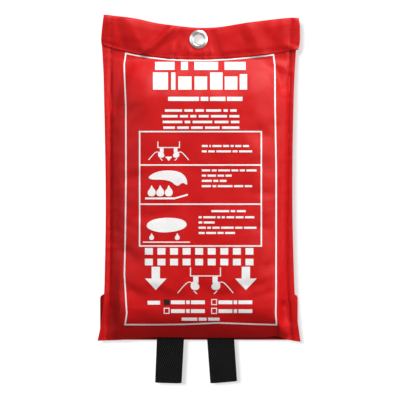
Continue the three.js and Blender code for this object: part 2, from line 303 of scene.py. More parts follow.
def through(stations, at):
    """A smooth curve through (place, value) pairs, given in rising order of place."""
    last = len(stations) - 1
    at = clamp(at, stations[0][0], stations[last][0])
    i = max(k for k in range(last) if stations[k][0] <= at)

    def slope(k):
        before, after = stations[max(k - 1, 0)], stations[min(k + 1, last)]
        return (after[1] - before[1]) / (after[0] - before[0])

    (start, low), (end, high) = stations[i], stations[i + 1]
    span = end - start
    t = (at - start) / span
    bend = t * (1 - t) * span * ((1 - t) * slope(i) - t * slope(i + 1))
    return mix(low, high, t * t * (3 - 2 * t)) + bend


# %% Outline and seams
LEFT, RIGHT = -1, 1
PANEL_EDGE = {
    LEFT: [(-282, 94.4), (-266, 91.2), (-245, 88.6), (-225, 87.6), (-150, 86.5), (-40, 88.5), (0, 90.6)],
    RIGHT: [(-282.4, 95.2), (-266, 92.8), (-245, 90.2), (-225, 89), (-150, 87.4), (-56, 88.6), (0, 91.5)],
}
SEAM_LINE = {
    LEFT: [(-282, 86.2), (-267, 84.9), (-220, 82.6), (-150, 81.9), (-40, 82), (22, 81.2)],
    RIGHT: [(-282, 87), (-258, 84.5), (-241, 83), (-215, 82.2), (-150, 82.4), (-40, 84.3), (22, 86.8)],
}
HEADER_EDGE = {
    LEFT: [(-6, 90.7), (2, 90.8), (22.9, 88.3)],
    RIGHT: [(-10.5, 92.8), (-4, 94.3), (6, 94.5), (16, 94), (21, 92.3)],
}
UPPER_EDGE = [
    (-89, 22.9), (-61, 19.5), (-40, 15.3), (-12, 11.8), (3, 10.9), (20, 11.8), (44, 15.6), (85, 20.3), (94, 19.6),
]
LOWER_EDGE = [
    (-95, -281.5), (-78, -280.8), (-59, -279.6), (-41, -278.2), (0, -278.4),
    (62, -278.2), (71.5, -276.9), (77, -278.2), (85, -280.8), (96, -282.4),
]
HEADER_SEAM = -18.3
HEADER_RISE = {LEFT: (13.5, 2.2), RIGHT: (8.8, 1.7)}
HALF_TOP = 92
TUCK = 5


def side_of(x):
    return LEFT if x < 0 else RIGHT


def panel_edge(z, side):
    return through(PANEL_EDGE[side], z)


def seam_line(z, side):
    return through(SEAM_LINE[side], z)


def upper_edge(x):
    return through(UPPER_EDGE, x)


def lower_edge(x):
    return through(LOWER_EDGE, x)


def header_seam(x):
    rise, power = HEADER_RISE[side_of(x)]
    return HEADER_SEAM + rise * min(abs(x) / HALF_TOP, 1) ** power


print(f"pouch {panel_edge(-282, LEFT) + panel_edge(-282, RIGHT):.0f} mm wide at its lower corners")

# %% How far the pouch bulges
CLOTH = 0.8
LAYER = 1.1
DEPTH = 17
SEAM_LIFT = 3.5
PANEL_FOOT = -250
FILLED_TOP = -70
BOXY_TOP = -190
BOXY_HALF = 0.845
CROWN_POWER = 5
CORNER_FOOT = -282.4
LIP_HALF = 73
EAR_OUTER = 75
LIP_REAR = 3.9
FOOT_POWER = 1.62
SHEET = 0.7  # how thick one layer of the red cloth is drawn


def seam_lift(z):
    return SEAM_LIFT * ease(HEADER_SEAM - z, 0, HEADER_SEAM - FILLED_TOP) * ease(z, CORNER_FOOT, PANEL_FOOT + 10)


def foot_slope(share):
    """The foot is a slope more than a round: full at 0, and gone at 1."""
    return 1 - share**FOOT_POWER


def fullness(z):
    above = clamp((z - FILLED_TOP) / (HEADER_SEAM - FILLED_TOP))
    under = clamp((PANEL_FOOT - z) / (PANEL_FOOT - CORNER_FOOT + 0.5))
    return (1 - above**2.5) * foot_slope(under)


def front_depth(x, z):
    """Distance of the front panel's outer face from the wall."""
    flat = CLOTH + LAYER + seam_lift(z)
    share = min(abs(x) / seam_line(z, side_of(x)), 1)
    crowned = 1 - share**CROWN_POWER
    boxy = 1 - ease(share, BOXY_HALF, 1)
    across = mix(boxy, crowned, mix(0.35, 1, ease(z, PANEL_FOOT, BOXY_TOP)))
    return flat + (DEPTH - flat) * fullness(z) * across


def back_depth(x, z):
    share = abs(x) / seam_line(z, side_of(x))
    return seam_lift(z) * ease(share, 0.62, 1) ** 2


print(f"deepest at the middle: {front_depth(0, -150):.1f} mm")

# %% [markdown]
# ### Creases, puckers and slack
# Sewn cloth is never smooth: the seam pulls it in, puckers run out from the stitches, and loose cloth
# falls in soft folds. Sculpting by hand would do it once, for one mesh. Here each effect is a height
# added to the bulge: a crease is a soft ridge or valley along a line, and slack is smooth noise.

# %% Heights added by creases, seams and slack
def ridge(x, z, line, width):
    """1 on the line from one point to another, and fading to 0 beside it."""
    start, end = Vector(line[0]), Vector(line[1])
    along = end - start
    spot = Vector((x, z)) - start
    share = clamp(spot.dot(along) / along.length_squared)
    gap = (spot - along * share).length
    return math.exp(-((gap / width) ** 2))


def creases(x, z, lines):
    return sum(height * ridge(x, z, line, width) for line, width, height in lines)


def slack(x, z, size, seed):
    return noise.noise(Vector((x / size, z / size, seed)))


def seam_relief(x, z):
    """The groove of the side seam, the padded margin outside it, and the puckers beside it."""
    side = side_of(x)
    away = abs(x) - seam_line(z, side)
    groove = -1.0 * math.exp(-((away / 1.3) ** 2))
    margin = 0.7 * ease(away, 0.8, 3)
    beside = math.exp(-abs(away) / 5)
    pucker = 0.75 * slack(z * 2.2, away * 0.5, 9, 3 + side) * beside
    return groove + margin + pucker


PANEL_CREASES = [
    (((78.5, -249), (79, -261)), 4.5, -3.4),
    (((72, -262), (81, -272)), 5, 1.6),
    (((-79, -252), (-77, -266)), 5, -1.6),
    (((-66, -262), (-84, -274)), 5, 1.0),
    (((60, -20), (79, -44)), 7, -1.4),
    (((-66, -26), (-78, -62)), 6, -1.6),
    (((70, -22), (84, -28)), 3.5, 1.2),
    (((-40, -262), (20, -266)), 7, 0.8),
    (((30, -259), (58, -268)), 7, -0.9),
    (((-76, -110), (-74, -170)), 7, 0.9),
]


def panel_relief(x, z):
    inside = ease(seam_line(z, side_of(x)) - abs(x), 0, 12)
    below = ease(header_seam(x) - z, 0, 14)
    soft = 1.5 * slack(x, z * 0.7, 48, 1) + 0.55 * slack(x, z, 17, 2) + 0.18 * slack(x, z, 7, 5)
    return (soft * inside + creases(x, z, PANEL_CREASES)) * below + seam_relief(x, z)


print(f"seam groove {seam_relief(seam_line(-150, RIGHT), -150):.1f} mm deep")

# %% [markdown]
# ## Making a sheet
# A sheet of cloth is a flat grid whose points are moved to where the cloth lies. While the grid still
# knows its rows and columns, we measure along them to lay the weave's UV map at true size, so that
# threads stay the same width on the bulge and in the folds. Then a solidify gives it its thickness.

# %% Helpers for sheets
def cloth_grid(columns, rows, place, outwards=True):
    """A bmesh of columns by rows cells. place(column, row) gives each point, in millimetres."""
    bm = bmesh.new()
    bmesh.ops.create_grid(bm, x_segments=columns, y_segments=rows, size=1)
    spots = [(round((v.co.x + 1) / 2 * columns), round((v.co.y + 1) / 2 * rows)) for v in bm.verts]
    points = {spot: Vector(place(*spot)) * MM for spot in spots}
    for vert, spot in zip(bm.verts, spots):
        vert.co = points[spot]
    middle = columns // 2
    along = [0.0]
    for row in range(1, rows + 1):
        along.append(along[-1] + (points[middle, row] - points[middle, row - 1]).length)
    across = {}
    for row in range(rows + 1):
        steps = [0.0]
        for column in range(1, columns + 1):
            steps.append(steps[-1] + (points[column, row] - points[column - 1, row]).length)
        for column in range(columns + 1):
            across[column, row] = steps[column] - steps[middle]
    weave = bm.loops.layers.uv.new("weave")
    bm.verts.index_update()
    for face in bm.faces:
        for loop in face.loops:
            spot = spots[loop.vert.index]
            loop[weave].uv = (across[spot], along[spot[1]])
    if not outwards:
        bmesh.ops.reverse_faces(bm, faces=bm.faces)
    return bm


def to_piece(name, bm, finish):
    mesh = bpy.data.meshes.new(name)
    bm.to_mesh(mesh)
    bm.free()
    mesh.materials.append(finish)
    mesh.shade_smooth()
    made = bpy.data.objects.new(name, mesh)
    bpy.context.collection.objects.link(made)
    return made


def apply_modifiers(made):
    shown = made.evaluated_get(bpy.context.evaluated_depsgraph_get())
    mesh = bpy.data.meshes.new_from_object(shown)
    made.modifiers.clear()
    made.data = mesh


def thicken(made, thickness, offset=-1.0, sharp=50):
    """Gives a sheet its thickness, behind its outer face."""
    solid = made.modifiers.new("thickness", "SOLIDIFY")
    solid.thickness = thickness * MM
    solid.offset = offset
    apply_modifiers(made)
    made.data.set_sharp_from_angle(angle=math.radians(sharp))


def tree_of(made):
    """The sheet as it is now, for rays that drop stitches and print onto it."""
    shape = bmesh.new()
    shape.from_mesh(made.data)
    tree = BVHTree.FromBMesh(shape)
    shape.free()
    return tree


def paint_wear(made, amount):
    """amount(x, z) is how rubbed the cloth is at a place, from 0 to 1."""
    wear = made.data.attributes.new("wear", "FLOAT", "POINT")
    for vert, value in zip(made.data.vertices, wear.data):
        value.value = amount(vert.co.x / MM, vert.co.z / MM)


def attach(made, body, slot, *nodes):
    """The piece moves with a body and stands for CAD nodes, which are hidden. slot is not used."""
    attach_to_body(made, body)
    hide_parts(*nodes)
    print(f"{made.name}: {len(made.data.polygons)} faces on {body}")


# %% [markdown]
# ### Letting cloth settle
# A drawn surface is too even for cloth. Blender's cloth solver can finish it: the sewn edges are
# pinned, the sheet is let out by a percent or two, and a little pressure stands for the blanket behind
# it. It then finds its own small folds. How far a point may move is capped, so the layers stay apart,
# and the moves are evened out, because the solver alone leaves a zigzag one cell wide.

# %% Settle a sheet
def evened(made, moves, rounds=2):
    """Each point's move averaged with its neighbours', so that no fold is too narrow for the print to follow."""
    for _ in range(rounds):
        totals = [move.copy() for move in moves]
        counts = [1] * len(moves)
        for edge in made.data.edges:
            first, second = edge.vertices
            totals[first] += moves[second]
            totals[second] += moves[first]
            counts[first] += 1
            counts[second] += 1
        moves = [total / count for total, count in zip(totals, counts)]
    return moves


def settle(made, pinned, let_out, pressure, cap, frames=18):
    """pinned(vertex) gives 1 for sewn points. Moves each point by the solver's answer, capped in mm."""
    rest = [vert.co.copy() for vert in made.data.vertices]
    sewn = made.vertex_groups.new(name="sewn")
    for vert in made.data.vertices:
        sewn.add([vert.index], pinned(vert), "REPLACE")
    cloth = made.modifiers.new("settle", "CLOTH")
    cloth.settings.vertex_group_mass = "sewn"
    cloth.settings.shrink_min = -let_out
    cloth.settings.use_pressure = True
    cloth.settings.uniform_pressure_force = pressure
    cloth.settings.quality = 6
    cloth.settings.mass = 0.2
    cloth.settings.tension_stiffness = 20
    cloth.settings.compression_stiffness = 20
    cloth.settings.bending_stiffness = 0.4
    cloth.settings.effector_weights.gravity = 0
    for step in range(1, frames + 1):
        scene.frame_set(step)
    shown = made.evaluated_get(bpy.context.evaluated_depsgraph_get())
    moves = [after.co - before for after, before in zip(shown.data.vertices, rest)]
    made.modifiers.clear()
    made.vertex_groups.clear()
    scene.frame_set(1)
    longest = max(move.length for move in moves) / MM
    capped = [move * min(1, cap * MM / max(move.length, MM * MM)) for move in moves]
    for vert, before, move in zip(made.data.vertices, rest, evened(made, capped)):
        vert.co = before + move
    print(f"{made.name} settled, by up to {longest:.1f} mm before the cap of {cap} mm")


# %% [markdown]
# ## Front panel and lip
# The front is one piece of fabric, from under the header band, over the blanket, and round under it.
# Its last stretch is the lip that has to give way when the blanket is pulled out, so it is cut off
# from the rest as a piece of its own, along a line where the cloth is flat. Columns stand closer
# together at the seams, where the shape changes fastest.

# %% Front panel
MIDDLE_COLUMNS = 27  # from the middle to the ear
SEAM_COLUMNS = 8  # from the ear to the seam
MARGIN_COLUMNS = 6  # from the seam to the edge
HALF_COLUMNS = MIDDLE_COLUMNS + 2 + SEAM_COLUMNS + MARGIN_COLUMNS
LIP_ROWS = 18
PANEL_ROWS = 132


def column_x(column, z):
    """Where a column of the panels is at a height: upright over the blanket, then spread to the edge."""
    step = abs(column - HALF_COLUMNS)
    side = LEFT if column < HALF_COLUMNS else RIGHT
    if step <= MIDDLE_COLUMNS:
        return side * LIP_HALF * step / MIDDLE_COLUMNS
    if step <= MIDDLE_COLUMNS + 2:
        return side * mix(LIP_HALF, EAR_OUTER, (step - MIDDLE_COLUMNS) / 2)
    step -= MIDDLE_COLUMNS + 2
    seam = seam_line(z, side)
    if step <= SEAM_COLUMNS:
        return side * mix(EAR_OUTER, seam, step / SEAM_COLUMNS)
    return side * mix(seam, panel_edge(z, side), (step - SEAM_COLUMNS) / MARGIN_COLUMNS)


def lip_depth(x, z):
    share = clamp((PANEL_FOOT - z) / (PANEL_FOOT - lower_edge(x)))
    outer = front_depth(x, PANEL_FOOT) + panel_relief(x, PANEL_FOOT)
    swell = (panel_relief(x, z) - panel_relief(x, PANEL_FOOT)) * (1 - share)
    return LIP_REAR + (outer - LIP_REAR) * foot_slope(share) + swell


def panel_point(x, z):
    return Vector((x, -front_depth(x, z) - panel_relief(x, z), z))


def front_point(column, row):
    if row >= LIP_ROWS:
        share = (row - LIP_ROWS) / (PANEL_ROWS - LIP_ROWS)
        head = header_seam(column_x(column, HEADER_SEAM)) + TUCK
        z = mix(PANEL_FOOT, head, share)
        return panel_point(column_x(column, z), z)
    near = column_x(column, CORNER_FOOT)
    z = mix(lower_edge(near), PANEL_FOOT, row / LIP_ROWS)
    x = column_x(column, z)
    return mix(Vector((x, -lip_depth(x, z), z)), panel_point(x, z), ease(abs(x), LIP_HALF, EAR_OUTER))


def is_lip(face):
    middle = face.calc_center_median() / MM
    return middle.z < PANEL_FOOT and abs(middle.x) < LIP_HALF


def give_way(made):
    """Gives the lip, or the print on it, a mesh of its own. Nothing here flattens it as the blanket slides.
    """
    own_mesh(made)


def sewn_front(vert):
    x, z = vert.co.x / MM, vert.co.z / MM
    loose = ease(seam_line(z, side_of(x)) - abs(x), 1, 10)
    loose *= ease(z, PANEL_FOOT + 2, PANEL_FOOT + 16) * ease(header_seam(x) - z, 2, 14)
    return 1 - loose


def front_wear(x, z):
    side = side_of(x)
    edge = math.exp(-abs(panel_edge(z, side) - abs(x)) / 1.2)
    foot = 0.1 * ridge(x, z, ((-70, -262), (70, -262)), 5)
    return clamp(0.5 * edge + foot)


def keep_faces(made, name, chosen):
    """A new piece with only the chosen faces of a sheet."""
    bm = bmesh.new()
    bm.from_mesh(made.data)
    dropped = [face for face in bm.faces if not chosen(face)]
    bmesh.ops.delete(bm, geom=dropped, context="FACES")
    return to_piece(name, bm, made.data.materials[0])


whole_front = to_piece("whole_front", cloth_grid(2 * HALF_COLUMNS, PANEL_ROWS, front_point), red_fabric)
settle(whole_front, sewn_front, let_out=0.012, pressure=0.6, cap=1.7)
paint_wear(whole_front, front_wear)
front_panel_cloth = keep_faces(whole_front, "front_panel_cloth", lambda face: not is_lip(face))
lip_cloth = keep_faces(whole_front, "lip_cloth", is_lip)
front_tree = tree_of(whole_front)
bpy.data.objects.remove(whole_front)
thicken(front_panel_cloth, SHEET)
thicken(lip_cloth, SHEET)
attach(front_panel_cloth, "pouch", "red_fabric", "front_panel")
attach(lip_cloth, "pouch", "red_fabric", "mouth_lip")
give_way(lip_cloth)

# %% [markdown]
# ## Back panel
# The back lies flat against the wall in the middle and lifts towards the side seams. It shares the
# front's outline, so it uses the same columns, turned to face the other way.

# %% Back panel
BACK_ROWS = 70


def back_point(column, row):
    near = column_x(column, CORNER_FOOT)
    foot = lower_edge(near) if abs(near) > LIP_HALF else -278.4
    head = header_seam(column_x(column, HEADER_SEAM)) + TUCK
    z = mix(foot, head, row / BACK_ROWS)
    x = column_x(column, z)
    inside = ease(seam_line(z, side_of(x)) - abs(x), 0, 25)
    loose = inside * ease(z, -236, -215) * ease(-30 - z, 0, 20)
    soft = (0.7 * slack(x, z, 42, 8) + 0.25 * slack(x, z, 15, 9)) * loose
    return (x, -back_depth(x, z) - abs(soft) + min(0.3 * seam_relief(x, z), 0), z)


back_panel_cloth = to_piece(
    "back_panel_cloth", cloth_grid(2 * HALF_COLUMNS, BACK_ROWS, back_point, outwards=False), red_fabric
)
paint_wear(back_panel_cloth, front_wear)
back_tree = tree_of(back_panel_cloth)
thicken(back_panel_cloth, SHEET)
attach(back_panel_cloth, "pouch", "red_fabric", "back_panel")

# %% [markdown]
# ## Header band
# The header is one strip folded over the top edge and stitched down through every layer. It carries
# the whole weight at one eyelet, so it is dragged into creases that run out from there. The strip is
# a grid that goes up the front, over the edge and down the back, and the eyelet's hole is opened in
# it by taking faces away and drawing the rim of the gap into a circle.

# %% Header band
HEADER_CREASES = [
    (((-49, -12), (-25, 10)), 3.4, 2.6),
    (((-40, -14), (-18, 4)), 4.0, -1.4),
    (((-27, -17), (-24, -5)), 2.2, 0.9),
    (((-19, -17), (-16, -6)), 2.0, 0.7),
    (((-9, -17), (-8, -9)), 2.0, 0.8),
    (((5, -18), (6, -9)), 2.2, 0.9),
    (((12, 5), (19, -16)), 3.0, -2.6),
    (((22, -14), (37, -3)), 5.0, 0.8),
    (((38, 8), (46, -10)), 5.0, -0.5),
    (((41, 16), (56, -13)), 8.0, 1.0),
    (((54, 16), (68, -8)), 7.0, -0.7),
    (((79, 12), (78, -8)), 5.0, 0.9),
    (((-76, 18), (-70, -8)), 4.0, -0.9),
    (((-82, 4), (-60, 0)), 5.0, 0.5),
    (((-66, 16), (-52, -6)), 5.0, 0.6),
    (((84, -7), (92, -10)), 2.5, 1.6),
    (((86, 22), (90, 18)), 2.5, 0.8),
]
HEADER_COLUMNS = 124
LEAF_ROWS = 18
TOP_ROWS = 8
HEADER_ROWS = 2 * LEAF_ROWS + TOP_ROWS
HEADER_FRONT = CLOTH + 2 * LAYER + 0.1
HEADER_REAR = -LAYER
HOLE_RADIUS = 6.2


def header_relief(x, z):
    flat_seat = ease(math.hypot(x, z), 8.5, 15)
    puff = 0.9 * ease(z, header_seam(x), header_seam(x) + 7) * ease(upper_edge(x) - z, 0, 8)
    soft = 0.9 * slack(x, z, 22, 11) + 0.35 * slack(x, z, 8, 12)
    hem = -0.35 * math.exp(-(((z - header_seam(x) - 3.2) / 1.2) ** 2))
    pucker = 0.4 * slack(x * 2, 0, 9, 14) * math.exp(-abs(z - header_seam(x) - 3) / 4)
    away = abs(x) - seam_line(z, side_of(x))
    side_seam = -0.6 * math.exp(-((away / 1.3) ** 2)) + 0.4 * slack(z * 2, 0, 9, 16) * math.exp(-abs(away) / 4)
    lean = (3.6 * ease(-x, 22, 72) + 2.2 * ease(x, 26, 60)) * ease(z, header_seam(x), upper_edge(x))
    return max((creases(x, z, HEADER_CREASES) + soft + puff) * flat_seat + hem + pucker + side_seam + lean, -0.35)


def header_point(column, row):
    share = 2 * column / HEADER_COLUMNS - 1
    near = share * HALF_TOP
    middle = (HEADER_FRONT + HEADER_REAR) / 2
    radius = (HEADER_FRONT - HEADER_REAR) / 2
    climb = min(row, HEADER_ROWS - row, LEAF_ROWS) / LEAF_ROWS
    z = mix(header_seam(near), upper_edge(near) - radius, climb)
    angle = math.pi * clamp((row - LEAF_ROWS) / TOP_ROWS)
    x = abs(share) * through(HEADER_EDGE[side_of(near)], z) * side_of(near)
    relief = header_relief(x, z) * (1 - ease(angle, 0, math.pi))
    return (x, -(middle + radius * math.cos(angle)) - relief, z + radius * math.sin(angle))


def open_hole(bm, radius):
    """Opens a round hole about the eyelet's axis, through both leaves."""
    reach = (radius + 1.2) * MM
    gone = [f for f in bm.faces if any(math.hypot(v.co.x, v.co.z) < reach for v in f.verts)]
    bmesh.ops.delete(bm, geom=gone, context="FACES")
    for vert in bm.verts:
        gap = math.hypot(vert.co.x, vert.co.z)
        if vert.is_boundary and gap < 3 * reach and vert.co.z > -0.012:
            vert.co.x *= radius * MM / gap
            vert.co.z *= radius * MM / gap


header_shape = cloth_grid(HEADER_COLUMNS, HEADER_ROWS, header_point)
header_tree = BVHTree.FromBMesh(header_shape)
open_hole(header_shape, HOLE_RADIUS)
header_cloth = to_piece("header_cloth", header_shape, red_fabric)
paint_wear(header_cloth, lambda x, z: math.exp(-abs(upper_edge(x) - z) / 1.5))
thicken(header_cloth, SHEET)
attach(header_cloth, "pouch", "red_fabric", "header_band")

# %% [markdown]
# ## Eyelet
# The eyelet is pressed metal with a nickel plate: a barrel with a rounded flange in front, whose end
# is rolled over a washer behind. It has an axis, so it is turned: a profile is drawn once, and spin
# carries it all the way round.

# %% Eyelet and washer
def arc(centre, radius, start, end, steps):
    """Points of an arc in the (radius, front) plane, angles in degrees."""
    turns = [math.radians(mix(start, end, i / steps)) for i in range(steps + 1)]
    return [(centre[0] + radius * math.cos(a), centre[1] + radius * math.sin(a)) for a in turns]


def turned(name, profile, finish, steps=64):
    """Spins a closed profile of (radius, distance in front of the wall) about the eyelet's axis."""
    bm = bmesh.new()
    verts = [bm.verts.new((radius * MM, -front * MM, 0)) for radius, front in profile]
    edges = [bm.edges.new((verts[i - 1], verts[i])) for i in range(len(verts))]
    bmesh.ops.spin(
        bm, geom=verts + edges, axis=(0, 1, 0), cent=(0, 0, 0), angle=2 * math.pi, steps=steps, use_merge=True
    )
    bmesh.ops.remove_doubles(bm, verts=bm.verts, dist=1e-6)
    bmesh.ops.recalc_face_normals(bm, faces=bm.faces)
    made = to_piece(name, bm, finish)
    made.data.set_sharp_from_angle(angle=math.radians(40))
    return made


BORE = 5.0
BARREL = 5.6
FLANGE = 8.7
SEAT = HEADER_FRONT + 0.1
FLANGE_HEIGHT = 1.5
WASHER_REAR = -2.3

flange_profile = [
    (BARREL, WASHER_REAR),
    (BARREL, SEAT - 0.25),
    (FLANGE - 0.15, SEAT - 0.25),
    *arc((FLANGE - 0.75, SEAT + 0.15), 0.75, -20, 75, 6),
    *arc((BARREL + 1.0, SEAT + FLANGE_HEIGHT - 1.1), 1.1, 75, 165, 8),
    (BORE, SEAT),
    (BORE, WASHER_REAR + 0.2),
    *arc((BORE + 1.15, WASHER_REAR), 0.85, 180, 350, 8),
]
washer_profile = [
    (BARREL + 0.2, WASHER_REAR + 0.05),
    *arc((FLANGE - 0.5, WASHER_REAR + 0.45), 0.4, 270, 360, 4),
    (FLANGE - 0.1, WASHER_REAR + 0.85),
    (BARREL + 0.2, WASHER_REAR + 0.85),
]
eyelet_ring = turned("eyelet_ring", flange_profile, nickel)
eyelet_backing = turned("eyelet_backing", washer_profile, nickel)
attach(eyelet_ring, "pouch", "nickel", "eyelet")
attach(eyelet_backing, "pouch", "nickel", "eyelet_washer")

# %% [markdown]
# ## Stitching
# A lockstitch shows as a row of short raised dashes, each pulled a little into the cloth. One long
# tube would look like piping. So a stitch is one small low-poly bead, repeated along a line that is
# dropped onto the cloth by casting rays at it.

# %% Rows of stitches
STITCH_PITCH = 3.1
STITCH_LENGTH = 2.5


def drop_on(tree, x, z, side=-1):
    """The point of a sheet seen from the front (side -1) or from behind (1), and the way it faces."""
    start = Vector((x * MM, side * 0.1, z * MM))
    point, normal, _, _ = tree.ray_cast(start, Vector((0, -side, 0)))
    return (point, normal * (1 if normal.y * side > 0 else -1)) if point else (None, None)


def stitch_rows(name, rows, finish, width=0.75, height=0.5):
    """Each row is a list of (point, way it faces). A bead is set every pitch along it."""
    bm = bmesh.new()
    count = 0
    for row in rows:
        spare = STITCH_PITCH * MM / 2
        for (start, facing), (end, _) in zip(row, row[1:]):
            step = end - start
            while spare < step.length:
                along = step.normalized()
                beside = facing.cross(along).normalized()
                up = along.cross(beside).normalized()
                turn = Matrix((along, beside, up)).transposed().to_4x4()
                size = Matrix.Diagonal((STITCH_LENGTH * MM, width * MM, height * MM, 1))
                place = Matrix.Translation(start + along * spare + up * 0.1 * MM)
                bmesh.ops.create_uvsphere(bm, u_segments=6, v_segments=5, radius=0.5, matrix=place @ turn @ size)
                count += 1
                spare += STITCH_PITCH * MM
            spare -= step.length
    print(f"{name}: {count} stitches")
    return to_piece(name, bm, finish)


def row_on(tree, places, side=-1):
    found = [drop_on(tree, x, z, side) for x, z in places]
    return [spot for spot in found if spot[0]]


def side_rows(side):
    """Down the side seam: over the header band and then over the panel, in front and behind."""
    heights = [mix(20, -279, i / 150) for i in range(151)]
    over_header = [(side * seam_line(z, side), z) for z in heights if z > header_seam(side * 84) + 2]
    over_panel = [(side * seam_line(z, side), z) for z in heights if z < header_seam(side * 84) - 1]
    return [
        row_on(header_tree, over_header),
        row_on(front_tree, over_panel),
        row_on(header_tree, over_header, 1),
        row_on(back_tree, over_panel, 1),
    ]


for side, word in ((LEFT, "left"), (RIGHT, "right")):
    seam = stitch_rows(f"side_stitches_{word}", side_rows(side), red_thread)
    attach(seam, "pouch", "red_thread", f"side_thread_{word}")

header_line = [(x, header_seam(x) + 3.2) for x in range(-80, 84, 2)]
header_stitches = stitch_rows(
    "header_stitches", [row_on(header_tree, header_line), row_on(header_tree, header_line, 1)], red_thread
)
attach(header_stitches, "pouch", "red_thread", "header_thread")

# %% [markdown]
# ## Print
# The front is screen printed: a thin white film inside a frame. Text objects would be the plain way,
# but this pouch has no real wording, only the layout of a notice: bars stand for lines of words, and
# the small pictures are our own. Every mark starts as a flat shape. It is cut into small cells, so
# that it can bend, and each point is then carried back along the line of sight until it meets the cloth,
# so that the layout stays square to the viewer. It is lifted a little more than a real film is thick,
# because the settled cloth has folds narrower than a cell. Last, it is parted where the lip begins.

# %% Flat marks
INK_CELL = 2.0
INK_LIFT = 0.24


def mark(bm, points):
    bm.faces.new([bm.verts.new((x * MM, 0, z * MM)) for x, z in points])


def bar(bm, left, right, top, bottom):
    mark(bm, [(left, bottom), (right, bottom), (right, top), (left, top)])


def stroke(bm, points, width, closed=False):
    """A line of one width through points, mitred at its corners."""
    count = len(points)
    spots = [Vector(point) for point in points]
    sides = []
    for i, spot in enumerate(spots):
        before = spots[i - 1] if i or closed else spot * 2 - spots[1]
        after = spots[(i + 1) % count] if i + 1 < count or closed else spot * 2 - spots[i - 1]
        one, two = (spot - before).normalized(), (after - spot).normalized()
        mitre = Vector((-one.y - two.y, one.x + two.x)).normalized()
        reach = width / 2 / max(mitre.dot(Vector((-one.y, one.x))), 0.5)
        sides.append((spot - mitre * reach, spot + mitre * reach))
    for i in range(count if closed else count - 1):
        (right, left), (far_right, far_left) = sides[i], sides[(i + 1) % count]
        mark(bm, [right, far_right, far_left, left])


def smoothed(points, rounds=2, closed=True):
    """Rounds the corners of an outline by cutting them off twice."""
    for _ in range(rounds):
        pairs = list(zip(points, points[1:] + points[:1] if closed else points[1:]))
        cut = [(mix(a[0], b[0], t), mix(a[1], b[1], t)) for a, b in pairs for t in (0.25, 0.75)]
        points = cut if closed else [points[0], *cut, points[-1]]
    return points


def moved(points, x, z, size=1.0, mirror=1):
    return [(x + mirror * size * a, z + size * b) for a, b in points]


def words(bm, left, right, top, bottom, lengths, gap=1.6):
    """A line of words as bars. lengths are the words' shares of the line."""
    unit = (right - left - gap * (len(lengths) - 1)) / sum(lengths)
    for length in lengths:
        bar(bm, left, left + unit * length, top, bottom)
        left += unit * length + gap


# %% What is printed
def print_frame(bm):
    left = [(-68.7, -266.4), (-67.2, -256), (-69.3, -220), (-68.4, -180), (-67.9, -130), (-68.0, -61), (-69.6, -24)]
    head = [(x, header_seam(x) - 1.5) for x in (-68, -58, -45, -30, -10, 10, 30, 45, 58, 70)]
    right = [(71.2, -24), (71.4, -61), (72.4, -120), (72.3, -236), (72.0, -256), (72.8, -266.6)]
    foot = [(46, -265.8), (18, -264.8), (-12, -266.1), (-42, -266.5)]
    stroke(bm, left + head + right + foot, 1.35, closed=True)


def print_title(bm):
    """Two lines of solid blocks. The first is half hidden by the header band."""
    for left, right in ((-40.7, -22.5), (-16.4, -10), (-4, 18.2), (24.3, 44)):
        bar(bm, left, right, -21, -28.5)
    blocks = [
        (-42.7, -28.6, -30.8), (-25.6, -21.8, -30.8), (-19, -6.6, -34.6), (-3.8, 8, -34.6),
        (10.8, 22.4, -30.8), (24.4, 36.2, -34.6), (38.4, 45.4, -32.4),
    ]
    for left, right, top in blocks:
        bar(bm, left, right, top, -46.9)


def print_small_lines(bm):
    words(bm, -28.5, 41, -53.6, -57.4, (8, 2, 4, 4), 1.5)
    rows = [(-31.5, 35.5, (8, 4, 4, 7, 2, 3)), (-34.5, 38, (8, 4, 3, 5, 8, 5)), (-33.5, 38, (7, 2, 7, 5, 3)),
            (-33, 38, (4, 4, 4, 5, 6))]
    for i, (left, right, lengths) in enumerate(rows):
        top = -65.2 - 5.35 * i
        words(bm, left, right, top, top - 2.3, lengths, 2.2)


def print_instructions(bm):
    levels = (-86.1, -117.3, -153.9, -193.0)
    stroke(bm, [(-55.1, levels[3]), (58.6, levels[3]), (58.6, levels[0]), (-55.1, levels[0])], 1.3, closed=True)
    for level in levels[1:3]:
        stroke(bm, [(-54.5, level), (58, level)], 1.3)
    lines = [
        (3, 47, -98.6, (4, 1, 6, 4, 2, 4, 4)), (3, 50, -103.6, (3, 4, 9, 3, 8)),
        (3, 54, -121.4, (5, 3, 7, 4, 3, 6)), (3, 31, -126.3, (2, 4, 3, 3)), (3, 26, -131.2, (6, 3, 4)),
        (3, 50, -136.1, (5, 2, 8, 5, 4)), (12, 44, -159.5, (8, 2, 4)), (0, 52, -165.2, (2, 8, 2, 2, 5, 5, 6)),
        (0, 15, -170.1, (2, 6)), (0, 54, -175.0, (4, 2, 4, 7, 4, 7)), (0, 34, -179.9, (3, 5, 3, 5)),
    ]
    for left, right, top, lengths in lines:
        words(bm, left, right, top, top - 1.9, lengths, 1.5)


FIST = [(0, 0), (4.2, 0.4), (5.4, -2.2), (5.2, -6), (2.4, -7.6), (-2.2, -7.2), (-3.2, -3.4)]
FLAME = [(0, 9), (1.5, 5.5), (4, 3), (4.4, -0.6), (2.4, -3.4), (-2.4, -3.4), (-4.4, -0.4), (-3, 3.4), (-1.6, 4.2)]


